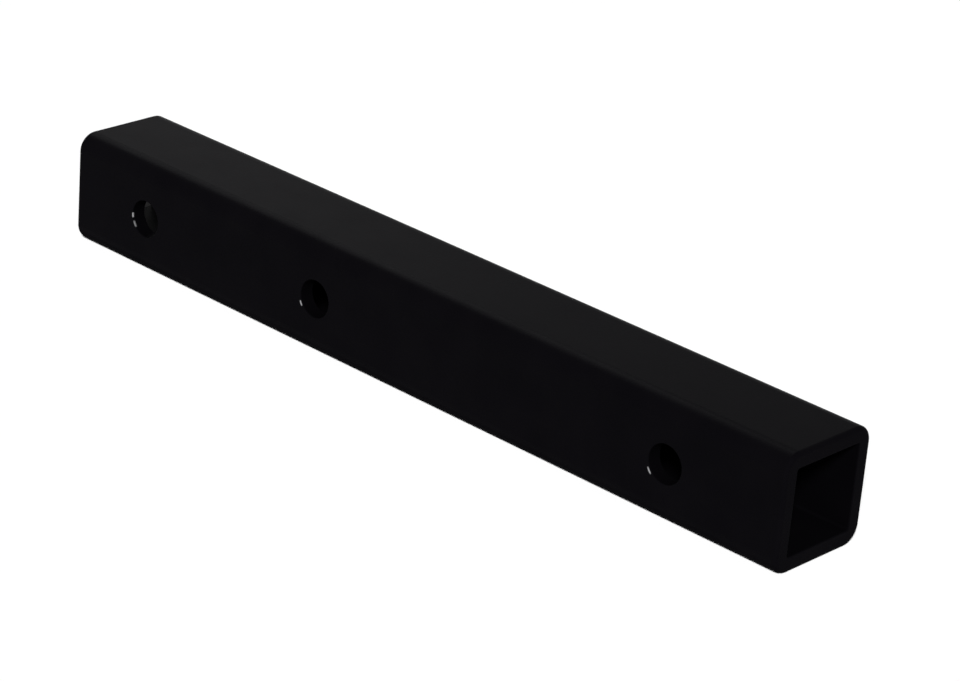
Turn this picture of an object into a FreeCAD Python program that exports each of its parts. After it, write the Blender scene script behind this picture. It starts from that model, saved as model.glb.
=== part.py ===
import FreeCAD, Part
import math
import os
import Sketcher

# Hitch receiver adapter: one length of heavy square steel tube, open at both ends.
# Three cross holes take a hitch pin straight through both side walls.
# Millimetres. +X runs along the tube to its near end, +Z is up, and the origin is
# the middle of the underside, which the tube rests on.

# Driving sizes: name, value and what it measures
DRIVING_SIZES = (
    ("tube_length", 406.4, "16 inch length, end to end"),
    ("outer_side", 50.8, "2 inch square tube, across the outside flats"),
    ("wall_thickness", 6.9, "1/4 inch wall at its heavy tolerance, with the coating on both faces"),
    ("inside_bend_radius", 1.1, "inside radius of the four formed corners"),
    ("pin_hole_diameter", 16.5, "hole for a 5/8 inch hitch pin, with clearance"),
    ("near_hole_inset", 57.5, "near end to the centre of the near hole"),
    ("far_hole_inset", 46.0, "far end to the centre of the far hole"),
    ("far_hole_pitch", 107.95, "centre of the far hole to the centre of the middle hole"),
    ("end_rounding", 1.8, "round on the outside edge of each end"),
    ("mouth_rounding", 0.6, "round on the inside edge of each end"),
    ("rim_rounding", 0.5, "round on the outside rims of the pin holes"),
    ("rim_deburr", 0.3, "chamfer on the inside rims of the pin holes"),
)

# Largest difference between measures that count as the same
TOLERANCE = 1e-4


class Point:
    """Which point of a sketched line or arc a constraint holds."""
    START = 1
    END = 2
    CENTRE = 3


class Axis:
    """A sketch's own axes. Its origin is the start of the horizontal one."""
    HORIZONTAL = -1
    VERTICAL = -2


def make_sizes(doc):
    """Fill the sheet: what each size is, and its value under its alias."""
    sheet = doc.addObject("Spreadsheet::Sheet", "sizes")
    for row, (name, value, meaning) in enumerate(DRIVING_SIZES, start=1):
        sheet.set(f"A{row}", meaning)
        sheet.set(f"B{row}", str(value))
        sheet.setAlias(f"B{row}", name)
    doc.recompute()
    return sheet


def origin_plane(body, role):
    """One of the body's own three planes, by its role."""
    return next(plane for plane in body.Origin.OriginFeatures if plane.Role == role)


def new_sketch(body, name, role):
    """An empty sketch on one of the body's origin planes."""
    sketch = body.newObject("Sketcher::SketchObject", name)
    sketch.AttachmentSupport = [(origin_plane(body, role), "")]
    sketch.MapMode = "FlatFace"
    return sketch


def dimension(sketch, name, rule, *constraint):
    """Add one named dimension whose value follows the sheet."""
    index = sketch.addConstraint(Sketcher.Constraint(*constraint))
    sketch.renameConstraint(index, name)
    sketch.setExpression(f"Constraints.{name}", rule)


def centre_on_the_height(sketch, line):
    """Hold a line's two ends at equal distances either side of the vertical axis."""
    sketch.addConstraint(
        Sketcher.Constraint("Symmetric", line, Point.START, line, Point.END, Axis.VERTICAL)
    )


def rounded_square(sketch, side, radius, bottom):
    """Draw four lines and four corner arcs, anticlockwise from the bottom line.

    The returned lines are bottom, right, top and left, and each arc follows its line.
    The caller levels the bottom line.
    """
    half = side / 2
    flat = half - radius
    middle = FreeCAD.Vector(0, bottom + half, 0)
    lines = []
    arcs = []
    for turn in range(4):
        spin = FreeCAD.Rotation(FreeCAD.Vector(0, 0, 1), 90 * turn)
        line_start = middle + spin.multVec(FreeCAD.Vector(-flat, -half, 0))
        line_end = middle + spin.multVec(FreeCAD.Vector(flat, -half, 0))
        corner = middle + spin.multVec(FreeCAD.Vector(flat, -flat, 0))
        arc_start = (turn - 1) * math.pi / 2
        circle = Part.Circle(corner, FreeCAD.Vector(0, 0, 1), radius)
        arc = Part.ArcOfCircle(circle, arc_start, arc_start + math.pi / 2)
        lines.append(sketch.addGeometry(Part.LineSegment(line_start, line_end)))
        arcs.append(sketch.addGeometry(arc))
    for line, arc, next_line in zip(lines, arcs, lines[1:] + lines[:1]):
        for first, second in ((line, arc), (arc, next_line)):
            sketch.addConstraint(
                Sketcher.Constraint("Tangent", first, Point.END, second, Point.START)
            )
    bottom, right, top, left = lines
    sketch.addConstraint(Sketcher.Constraint("Horizontal", top))
    for line in (right, left):
        sketch.addConstraint(Sketcher.Constraint("Vertical", line))
    for arc in arcs[1:]:
        sketch.addConstraint(Sketcher.Constraint("Equal", arcs[0], arc))
    return lines, arcs


def draw_section(body, sheet):
    """The tube's end view: an outside and an inside round the same corner centres."""
    sketch = new_sketch(body, "tube_section", "YZ_Plane")
    side = sheet.outer_side
    wall = sheet.wall_thickness
    bend = sheet.inside_bend_radius

    lines, arcs = rounded_square(sketch, side, bend + wall, 0)
    bottom, right, top, left = lines
    sketch.addConstraint(
        Sketcher.Constraint("PointOnObject", bottom, Point.START, Axis.HORIZONTAL)
    )
    centre_on_the_height(sketch, bottom)
    dimension(
        sketch, "outside_width", "sizes.outer_side",
        "DistanceX", left, Point.START, right, Point.START, side,
    )
    dimension(
        sketch, "outside_height", "sizes.outer_side",
        "DistanceY", bottom, Point.START, top, Point.START, side,
    )
    dimension(
        sketch, "outside_bend", "sizes.inside_bend_radius + sizes.wall_thickness",
        "Radius", arcs[0], bend + wall,
    )

    inner_lines, inner_arcs = rounded_square(sketch, side - 2 * wall, bend, wall)
    sketch.addConstraint(Sketcher.Constraint("Horizontal", inner_lines[0]))
    for outer_arc, inner_arc in zip(arcs[0::2], inner_arcs[0::2]):
        sketch.addConstraint(
            Sketcher.Constraint("Coincident", outer_arc, Point.CENTRE, inner_arc, Point.CENTRE)
        )
    dimension(
        sketch, "inside_bend", "sizes.inside_bend_radius",
        "Radius", inner_arcs[0], bend,
    )
    return sketch


def draw_pin_holes(body, sheet):
    """The side view: three circles on the tube's centre line, set out from its ends."""
    sketch = new_sketch(body, "pin_hole_layout", "XZ_Plane")
    half_length = sheet.tube_length / 2
    middle_height = sheet.outer_side / 2
    far_end = FreeCAD.Vector(-half_length, middle_height, 0)
    near_end = FreeCAD.Vector(half_length, middle_height, 0)
    centre_line = sketch.addGeometry(Part.LineSegment(far_end, near_end), True)
    centre_on_the_height(sketch, centre_line)
    dimension(
        sketch, "end_to_end", "sizes.tube_length",
        "DistanceX", centre_line, Point.START, centre_line, Point.END, sheet.tube_length,
    )
    dimension(
        sketch, "centre_height", "sizes.outer_side / 2",
        "DistanceY", Axis.HORIZONTAL, Point.START, centre_line, Point.START, middle_height,
    )

    far_x = -half_length + sheet.far_hole_inset
    places = (far_x, far_x + sheet.far_hole_pitch, half_length - sheet.near_hole_inset)
    circles = []
    for place in places:
        centre = FreeCAD.Vector(place, middle_height, 0)
        circle = Part.Circle(centre, FreeCAD.Vector(0, 0, 1), sheet.pin_hole_diameter / 2)
        circles.append(sketch.addGeometry(circle))
        sketch.addConstraint(
            Sketcher.Constraint("PointOnObject", circles[-1], Point.CENTRE, centre_line)
        )
    far, middle, near = circles
    for circle in (middle, near):
        sketch.addConstraint(Sketcher.Constraint("Equal", far, circle))
    dimension(
        sketch, "hole_diameter", "sizes.pin_hole_diameter",
        "Diameter", far, sheet.pin_hole_diameter,
    )
    dimension(
        sketch, "far_inset", "sizes.far_hole_inset",
        "DistanceX", centre_line, Point.START, far, Point.CENTRE, sheet.far_hole_inset,
    )
    dimension(
        sketch, "far_pitch", "sizes.far_hole_pitch",
        "DistanceX", far, Point.CENTRE, middle, Point.CENTRE, sheet.far_hole_pitch,
    )
    dimension(
        sketch, "near_inset", "sizes.near_hole_inset",
        "DistanceX", near, Point.CENTRE, centre_line, Point.END, sheet.near_hole_inset,
    )
    return sketch


def dress_edges(body, kind, name, belongs, measure, size):
    """Fillet or chamfer the edges that belong, with a measure that follows the sheet."""
    base = body.Tip
    numbered = enumerate(base.Shape.Edges, start=1)
    edges = [f"Edge{number}" for number, edge in numbered if belongs(edge)]
    feature = body.newObject(f"PartDesign::{kind}", name)
    feature.Base = (base, edges)
    feature.setExpression(measure, f"sizes.{size}")
    body.Document.recompute()
    body.Tip = feature


def make_receiver_tube(doc, sheet):
    """The tube: section drawn to length, cross holes cut, then its edges softened."""
    body = doc.addObject("PartDesign::Body", "receiver_tube")
    body.Label = "receiver_tube"
    body.Placement = FreeCAD.Placement()

    section = draw_section(body, sheet)
    tube = body.newObject("PartDesign::Pad", "drawn_tube")
    tube.Profile = section
    tube.SideType = "Symmetric"
    tube.setExpression("Length", "sizes.tube_length")
    doc.recompute()
    body.Tip = tube

    end_plane = sheet.tube_length / 2
    outside_half = sheet.outer_side / 2
    bore_half = outside_half - sheet.wall_thickness

    def on_an_end(edge):
        box = edge.BoundBox
        at_end = abs(abs(box.Center.x) - end_plane) < TOLERANCE
        return at_end and box.XLength < TOLERANCE

    def in_the_mouth(edge):
        box = edge.BoundBox
        across = max(abs(box.YMin), abs(box.YMax))
        upright = max(abs(box.ZMin - outside_half), abs(box.ZMax - outside_half))
        return max(across, upright) < bore_half + TOLERANCE

    def is_outside_end(edge):
        return on_an_end(edge) and not in_the_mouth(edge)

    def is_mouth(edge):
        return on_an_end(edge) and in_the_mouth(edge)

    def is_rim(edge, depth):
        box = edge.BoundBox
        at_depth = box.YLength < TOLERANCE and abs(abs(box.Center.y) - depth) < TOLERANCE
        return at_depth and isinstance(edge.Curve, Part.Circle)

    def is_outside_rim(edge):
        return is_rim(edge, outside_half)

    def is_inside_rim(edge):
        return is_rim(edge, bore_half)

    layout = draw_pin_holes(body, sheet)
    undrilled_volume = tube.Shape.Volume
    holes = body.newObject("PartDesign::Pocket", "pin_holes")
    holes.Profile = layout
    holes.Type = "ThroughAll"
    holes.SideType = "Symmetric"
    doc.recompute()
    body.Tip = holes
    circles_drawn = sum(isinstance(item, Part.Circle) for item in layout.Geometry)
    hole_area = math.pi * (sheet.pin_hole_diameter / 2) ** 2
    removed = circles_drawn * hole_area * 2 * sheet.wall_thickness
    if abs(undrilled_volume - holes.Shape.Volume - removed) > TOLERANCE * removed:
        raise RuntimeError("the pin holes don't pass through both walls")

    dress_edges(body, "Fillet", "outside_rims", is_outside_rim, "Radius", "rim_rounding")
    dress_edges(body, "Chamfer", "inside_rims", is_inside_rim, "Size", "rim_deburr")
    dress_edges(body, "Fillet", "outside_ends", is_outside_end, "Radius", "end_rounding")
    dress_edges(body, "Fillet", "mouths", is_mouth, "Radius", "mouth_rounding")
    return body


def check(doc, parts):
    """Stop if any feature failed or any finished piece is not one valid solid."""
    for item in doc.Objects:
        if "Invalid" in item.State or "Error" in item.State:
            raise RuntimeError(f"{item.Name} failed: {item.State}")
        if item.isDerivedFrom("Sketcher::SketchObject") and not item.FullyConstrained:
            raise RuntimeError(f"{item.Name} is not fully constrained")
    for part in parts:
        shape = part.Shape
        if shape.isNull() or not shape.isValid() or len(shape.Solids) != 1:
            raise RuntimeError(f"{part.Label} is not one valid solid")


def main():
    doc = FreeCAD.newDocument("hitch_receiver_adapter")
    sheet = make_sizes(doc)
    parts = [make_receiver_tube(doc, sheet)]
    doc.recompute()
    check(doc, parts)
    os.makedirs("parts", exist_ok=True)
    for part in parts:
        part.Shape.exportStep(f"parts/{part.Label}.step")
        box = part.Shape.BoundBox
        print(part.Label, "volume", round(part.Shape.Volume, 1), "box", box)


main()
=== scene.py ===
import math

import bpy
from mathutils import Matrix, Vector

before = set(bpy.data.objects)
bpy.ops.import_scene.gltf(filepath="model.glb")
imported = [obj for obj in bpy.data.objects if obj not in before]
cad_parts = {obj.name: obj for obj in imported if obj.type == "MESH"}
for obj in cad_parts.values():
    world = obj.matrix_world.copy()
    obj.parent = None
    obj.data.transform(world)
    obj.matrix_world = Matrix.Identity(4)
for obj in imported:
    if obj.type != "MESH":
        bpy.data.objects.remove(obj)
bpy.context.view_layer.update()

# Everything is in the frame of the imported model. The scene's own sizes are in metres,
# the places and sizes on the tube are in millimetres, and angles are in degrees.
TUBE = "receiver_tube"
MM = 0.001

# The camera. Azimuth 0 looks along +Y, elevation is above the horizon, and the lens
# and the sensor are in millimetres.
CAMERA_AZIMUTH = 42.134
CAMERA_ELEVATION = 23.803
CAMERA_ROLL = 4.766
CAMERA_DISTANCE = 1.39032
CAMERA_AIM = (0.00772, 0.0165, 0.016)
SENSOR_WIDTH = 36.0
LENS = 125.078

# The floor lies just below the tube, so that their faces don't coincide
FLOOR_SIDE = 60.0
FLOOR_DROP = 0.0002
FLOOR_COLOUR = (0.95, 0.95, 0.95, 1.0)

# The surroundings: what the camera and reflections see of them is plain white, and
# what they add to the light on a surface is weak
WHITE = (1.0, 1.0, 1.0, 1.0)
WORLD_SEEN = 1.0
WORLD_LIGHT = 0.02

# How far away the lamps stand, which makes no difference to the sun
LAMP_DISTANCE = 2.2

# The key light, a broad sun near the camera's own direction, so that the tube's
# shadow falls behind it
KEY_AZIMUTH = 38.5
KEY_ELEVATION = 34.5
KEY_STRENGTH = 5.8
KEY_WIDTH = 9.0

# Two weak softboxes behind the far end, which only reflections show: name, azimuth,
# elevation, side and watts
SOFTBOXES = (
    ("low_softbox", 240.0, 20.0, 1.2, 1.8),
    ("high_softbox", 243.0, 47.0, 1.1, 18.0),
)

# Noises on the surface: scale per metre, detail and roughness
PATCHES = (45.0, 4.0, 0.5)
CLOUDS = (60.0, 3.0, 0.5)
GRAIN = (2200.0, 2.0, 0.5)
SCRATCHES = (5200.0, 2.0, 0.7)
PEEL = (750.0, 2.0, 0.4)
FINE_PEEL = (3200.0, 1.0, 0.5)

# The coat's two tones, and the two values of the patches between which it turns
COAT_COLOUR = (0.0016, 0.00144, 0.00196, 1.0)
COAT_COLOUR_LIGHT = (0.0020, 0.00179, 0.00234, 1.0)
COAT_TURN = (0.35, 0.70)
COAT_SPECULAR = 0.0052

# The coat's least roughness, and how much the noises and the dull places add to it
COAT_ROUGHNESS = 0.22
CLOUDS_ROUGHER = 0.14
GRAIN_ROUGHER = 0.10
RECESS_ROUGHER = 0.22
UNDERSIDE_ROUGHER = 0.50
ENDS_ROUGHER = 0.26

# The orange peel of the coat, and the share of its fine part
PEEL_STRENGTH = 0.5
PEEL_DEPTH = 0.05
FINE_PEEL_SHARE = 0.25

# The coat is dull where it faces down, and over the saw marks of the cut ends, from
# one slope of its normal to the other
UNDERSIDE_SLOPES = (-0.05, -0.5)
ENDS_SLOPES = (0.60, 0.95)

# In the bore and in the holes the coat is rougher, and painted shade darkens its
# colour. Each pair is the distance from the tube's axis, square, or a hole's axis,
# round, where that starts and where it is full.
BORE_REACH = (19.0, 18.6)
HOLE_REACH = (8.6, 8.3)
HOLE_PLACES = (-157.2, -49.25, 145.7)
RECESS_PAINTED_SHADE = 0.32

# Painted glints: short arcs of bright bare steel on the front rims of the holes,
# placed where the rims catch the light, on rings round a hole's axis: the axis along
# the tube, the arc's middle and half width in degrees with 0 towards +X and 90 up, the
# ring's radius and its depth behind the front face, the breadth either side of the
# ring, and the strength. The arc has its full strength over the core of its breadth.
FRONT_FACE = -25.4
AXIS_HEIGHT = 25.4
PAINTED_GLINT_ARCS = (
    (-157.2, 185.0, 9.0, 8.4, 0.3, 0.5, 0.75),
    (-157.2, 213.0, 12.0, 8.35, 0.4, 0.55, 0.32),
    (-49.25, 210.0, 9.0, 9.1, 0.0, 0.5, 0.72),
    (145.7, 216.5, 11.0, 9.15, 0.0, 0.5, 0.70),
)
ARC_CORE = 0.4

# The two tones of the painted glints' steel, turned by its scratches, and its roughness
GLINT_STEEL_PALE = (0.45, 0.45, 0.46, 1.0)
GLINT_STEEL_DARK = (0.36, 0.36, 0.37, 1.0)
STEEL_TURN = (0.0, 1.0)
STEEL_ROUGHNESS = 0.30
SCRATCHES_ROUGHER = 0.10

# The colour sockets of a Mix node: share, first and second, and the result
MIX_INPUTS = (0, 6, 7)
MIX_RESULT = 2


def direction(azimuth, elevation):
    """The unit vector towards a place round the object."""
    a, e = math.radians(azimuth), math.radians(elevation)
    across = math.cos(e)
    return Vector((math.sin(a) * across, -math.cos(a) * across, math.sin(e)))


def add(tree, kind, **values):
    """A new shader node with some input values, an underscore for a space in a name."""
    node = tree.nodes.new(kind)
    for name, value in values.items():
        node.inputs[name.replace("_", " ")].default_value = value
    return node


def join(tree, node, *outputs):
    """Link outputs to a node's first inputs, in order."""
    for output, socket in zip(outputs, node.inputs):
        tree.links.new(output, socket)
    return node


def maths(tree, operation, first, second=0.0, clamp=False):
    """A math node's result, on two numbers or outputs."""
    node = tree.nodes.new("ShaderNodeMath")
    node.operation = operation
    node.use_clamp = clamp
    for socket, value in zip(node.inputs, (first, second)):
        if isinstance(value, (int, float)):
            socket.default_value = value
        else:
            tree.links.new(value, socket)
    return node.outputs[0]


def vector_maths(tree, operation, first, second=None):
    """A vector math node's result, which is a number for a length or a dot product."""
    node = tree.nodes.new("ShaderNodeVectorMath")
    node.operation = operation
    for socket, value in zip(node.inputs, (first, second)):
        if isinstance(value, tuple):
            socket.default_value = value
        elif value is not None:
            tree.links.new(value, socket)
    number = operation in ("LENGTH", "DOT_PRODUCT")
    return node.outputs["Value" if number else "Vector"]


def scaled(tree, vector, factor):
    """A vector times a number."""
    node = tree.nodes.new("ShaderNodeVectorMath")
    node.operation = "SCALE"
    tree.links.new(vector, node.inputs["Vector"])
    tree.links.new(factor, node.inputs["Scale"])
    return node.outputs["Vector"]


def parts_of(tree, vector):
    """The X, Y and Z of a vector, as outputs by name."""
    return join(tree, tree.nodes.new("ShaderNodeSeparateXYZ"), vector).outputs


def ramp_up(tree, value, low, high):
    """Smoothly from 0 at low to 1 at high."""
    node = tree.nodes.new("ShaderNodeMapRange")
    node.interpolation_type = "SMOOTHSTEP"
    tree.links.new(value, node.inputs["Value"])
    node.inputs["From Min"].default_value = low
    node.inputs["From Max"].default_value = high
    return node.outputs["Result"]


def part_way(tree, share, first, second):
    """A number on the way from the first to the second, by a share."""
    change = maths(tree, "SUBTRACT", second, first)
    return maths(tree, "ADD", first, maths(tree, "MULTIPLY", change, share))


def noise(tree, place, kind):
    """One of the noises on the surface."""
    scale, detail, roughness = kind
    node = add(
        tree, "ShaderNodeTexNoise", Scale=scale, Detail=detail, Roughness=roughness
    )
    tree.links.new(place, node.inputs["Vector"])
    return node.outputs["Fac"]


def two_colours(tree, value, turn, first, second):
    """From the first colour to the second, between the two values of the turn."""
    node = tree.nodes.new("ShaderNodeValToRGB")
    elements = node.color_ramp.elements
    for element, position, colour in zip(elements, turn, (first, second)):
        element.position = position
        element.color = colour
    return join(tree, node, value).outputs["Color"]


def mixed_colours(tree, share, first, second):
    """A colour on the way from the first to the second, by a share."""
    node = tree.nodes.new("ShaderNodeMix")
    node.data_type = "RGBA"
    for output, index in zip((share, first, second), MIX_INPUTS):
        tree.links.new(output, node.inputs[index])
    return node.outputs[MIX_RESULT]


def seen_directly(tree):
    """1 for camera, glossy and transmission rays, and 0 for light on a surface."""
    rays = tree.nodes.new("ShaderNodeLightPath").outputs
    seen = maths(tree, "ADD", rays["Is Camera Ray"], rays["Is Glossy Ray"])
    return maths(tree, "ADD", seen, rays["Is Transmission Ray"], clamp=True)


def make_world():
    """Surroundings that look white and add a little light to the lamps'."""
    world = bpy.data.worlds.new("studio")
    bpy.context.scene.world = world
    world.use_nodes = True
    tree = world.node_tree
    tree.nodes.clear()
    lit = add(tree, "ShaderNodeBackground", Color=WHITE, Strength=WORLD_LIGHT)
    shown = add(tree, "ShaderNodeBackground", Color=WHITE, Strength=WORLD_SEEN)
    mix = tree.nodes.new("ShaderNodeMixShader")
    join(tree, mix, seen_directly(tree), lit.outputs[0], shown.outputs[0])
    join(tree, tree.nodes.new("ShaderNodeOutputWorld"), mix.outputs[0])


def make_floor():
    """A pale floor that keeps the object's shadow."""
    half = FLOOR_SIDE / 2
    corners = [(-half, -half), (half, -half), (half, half), (-half, half)]
    mesh = bpy.data.meshes.new("floor")
    mesh.from_pydata([(x, y, -FLOOR_DROP) for x, y in corners], [], [(0, 1, 2, 3)])
    floor = bpy.data.objects.new("floor", mesh)
    bpy.context.scene.collection.objects.link(floor)
    material = bpy.data.materials.new("pale_floor")
    material.use_nodes = True
    tree = material.node_tree
    tree.nodes.clear()
    matt = add(tree, "ShaderNodeBsdfDiffuse", Color=FLOOR_COLOUR)
    join(tree, tree.nodes.new("ShaderNodeOutputMaterial"), matt.outputs[0])
    mesh.materials.append(material)


def place_lamp(name, data, azimuth, elevation):
    """A lamp object at a place round the object, turned towards it."""
    lamp = bpy.data.objects.new(name, data)
    bpy.context.scene.collection.objects.link(lamp)
    towards = direction(azimuth, elevation)
    lamp.location = towards * LAMP_DISTANCE
    lamp.rotation_mode = "QUATERNION"
    lamp.rotation_quaternion = (-towards).to_track_quat("-Z", "Y")
    return lamp


def make_lamps():
    """A soft key light that reflections don't show, and softboxes that only they do."""
    sun = bpy.data.lights.new("key", "SUN")
    sun.energy = KEY_STRENGTH
    sun.angle = math.radians(KEY_WIDTH)
    key = place_lamp("key", sun, KEY_AZIMUTH, KEY_ELEVATION)
    key.visible_glossy = False
    for name, azimuth, elevation, side, watts in SOFTBOXES:
        area = bpy.data.lights.new(name, "AREA")
        area.size = side
        area.energy = watts
        box = place_lamp(name, area, azimuth, elevation)
        box.visible_camera = False
        box.visible_diffuse = False


def make_camera():
    """The camera at the photograph's viewing angle."""
    back = direction(CAMERA_AZIMUTH, CAMERA_ELEVATION)
    level = Vector((0, 0, 1)).cross(back).normalized()
    upright = back.cross(level)
    roll = math.radians(CAMERA_ROLL)
    right = math.cos(roll) * level + math.sin(roll) * upright
    up = math.cos(roll) * upright - math.sin(roll) * level
    data = bpy.data.cameras.new("camera")
    data.sensor_fit = "HORIZONTAL"
    data.sensor_width = SENSOR_WIDTH
    data.lens = LENS
    data.clip_end = FLOOR_SIDE
    camera = bpy.data.objects.new("camera", data)
    bpy.context.scene.collection.objects.link(camera)
    place = Vector(CAMERA_AIM) + CAMERA_DISTANCE * back
    turn = Matrix((right, up, back)).transposed().to_4x4()
    camera.matrix_world = Matrix.Translation(place) @ turn
    bpy.context.scene.camera = camera


def round_hole(tree, place, axis_x):
    """The place across a hole's axis, and its distance from that axis."""
    centre = (axis_x * MM, 0.0, AXIS_HEIGHT * MM)
    away = vector_maths(tree, "SUBTRACT", place, centre)
    flat = vector_maths(tree, "MULTIPLY", away, (1.0, 0.0, 1.0))
    return flat, vector_maths(tree, "LENGTH", flat)


def in_recess(tree, place):
    """1 in the bore and on the holes' walls, and 0 on the outside."""
    axis = (0.0, 0.0, AXIS_HEIGHT * MM)
    centred = vector_maths(tree, "SUBTRACT", place, axis)
    away = parts_of(tree, vector_maths(tree, "ABSOLUTE", centred))
    square = maths(tree, "MAXIMUM", away["Y"], away["Z"])
    recess = ramp_up(tree, square, BORE_REACH[0] * MM, BORE_REACH[1] * MM)
    for axis_x in HOLE_PLACES:
        radius = round_hole(tree, place, axis_x)[1]
        hole = ramp_up(tree, radius, HOLE_REACH[0] * MM, HOLE_REACH[1] * MM)
        recess = maths(tree, "MAXIMUM", recess, hole)
    return recess


def painted_glint_arcs(tree, place):
    """1 on the painted glint arcs of the holes' front rims, and 0 elsewhere."""
    depth = parts_of(tree, place)["Y"]
    total = 0.0
    for axis_x, middle, half_width, ring, ring_depth, breadth, strength in PAINTED_GLINT_ARCS:
        flat, radius = round_hole(tree, place, axis_x)
        angle = math.radians(middle)
        towards = (math.cos(angle), 0.0, math.sin(angle))
        unit = vector_maths(tree, "NORMALIZE", flat)
        along = vector_maths(tree, "DOT_PRODUCT", unit, towards)
        in_arc = ramp_up(tree, along, math.cos(math.radians(half_width)), 1.0)
        outward = maths(tree, "SUBTRACT", radius, ring * MM)
        inward = maths(tree, "SUBTRACT", depth, (FRONT_FACE + ring_depth) * MM)
        offset = join(tree, tree.nodes.new("ShaderNodeCombineXYZ"), outward, inward)
        distance = vector_maths(tree, "LENGTH", offset.outputs[0])
        near_ring = ramp_up(tree, distance, breadth * MM, ARC_CORE * breadth * MM)
        here = maths(tree, "MULTIPLY", in_arc, near_ring)
        here = maths(tree, "MULTIPLY", here, strength)
        total = maths(tree, "ADD", here, total, clamp=True)
    return total


def coat_roughness(tree, place, normal, recess):
    """The satin coat's roughness, higher where the coat is dull."""
    clouds = maths(tree, "MULTIPLY", noise(tree, place, CLOUDS), CLOUDS_ROUGHER)
    grain = maths(tree, "MULTIPLY", noise(tree, place, GRAIN), GRAIN_ROUGHER)
    satin = maths(tree, "ADD", clouds, grain)
    satin = maths(tree, "ADD", satin, COAT_ROUGHNESS)
    facing = parts_of(tree, normal)
    underside = ramp_up(tree, facing["Z"], *UNDERSIDE_SLOPES)
    ends = ramp_up(tree, maths(tree, "ABSOLUTE", facing["X"]), *ENDS_SLOPES)
    duller = maths(tree, "MULTIPLY", recess, RECESS_ROUGHER)
    for where, rougher in ((underside, UNDERSIDE_ROUGHER), (ends, ENDS_ROUGHER)):
        dull = maths(tree, "MULTIPLY", where, rougher)
        duller = maths(tree, "MAXIMUM", duller, dull)
    return maths(tree, "ADD", satin, duller)


def orange_peel(tree, place):
    """The coat's bumps, as a normal."""
    fine = maths(tree, "MULTIPLY", noise(tree, place, FINE_PEEL), FINE_PEEL_SHARE)
    height = maths(tree, "ADD", noise(tree, place, PEEL), fine)
    bump = add(
        tree, "ShaderNodeBump", Strength=PEEL_STRENGTH, Distance=PEEL_DEPTH * MM
    )
    tree.links.new(height, bump.inputs["Height"])
    return bump.outputs["Normal"]


def make_coat():
    """Near black satin powder coat, with painted glints of bright steel on the holes'
    rims.
    """
    material = bpy.data.materials.new("black_powder_coat")
    material.use_nodes = True
    tree = material.node_tree
    tree.nodes.clear()
    coordinates = tree.nodes.new("ShaderNodeTexCoord").outputs
    place = coordinates["Object"]
    recess = in_recess(tree, place)
    # Painted glints: arcs of bright steel on the holes' front rims, where they catch
    # the light
    glint_mask = painted_glint_arcs(tree, place)
    scratches = noise(tree, place, SCRATCHES)

    patches = noise(tree, place, PATCHES)
    coat = two_colours(tree, patches, COAT_TURN, COAT_COLOUR, COAT_COLOUR_LIGHT)
    # Painted shade: the coat's colour is darker in the bore and in the holes
    coat = scaled(tree, coat, part_way(tree, recess, 1.0, 1.0 - RECESS_PAINTED_SHADE))
    steel = two_colours(tree, scratches, STEEL_TURN, GLINT_STEEL_DARK, GLINT_STEEL_PALE)
    steel_rough = maths(tree, "MULTIPLY", scratches, SCRATCHES_ROUGHER)
    steel_rough = maths(tree, "ADD", steel_rough, STEEL_ROUGHNESS)
    coat_rough = coat_roughness(tree, place, coordinates["Normal"], recess)

    shader = add(tree, "ShaderNodeBsdfPrincipled", Specular_IOR_Level=COAT_SPECULAR)
    links = (
        ("Base Color", mixed_colours(tree, glint_mask, coat, steel)),
        ("Metallic", glint_mask),
        ("Roughness", part_way(tree, glint_mask, coat_rough, steel_rough)),
        ("Normal", orange_peel(tree, place)),
    )
    for name, output in links:
        tree.links.new(output, shader.inputs[name])
    join(tree, tree.nodes.new("ShaderNodeOutputMaterial"), shader.outputs[0])
    return material


def dress(node, material):
    """Give a node one material all over."""
    node.data.materials.clear()
    node.data.materials.append(material)


bpy.context.scene.view_settings.view_transform = "Standard"
make_world()
make_floor()
make_lamps()
make_camera()
dress(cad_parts[TUBE], make_coat())
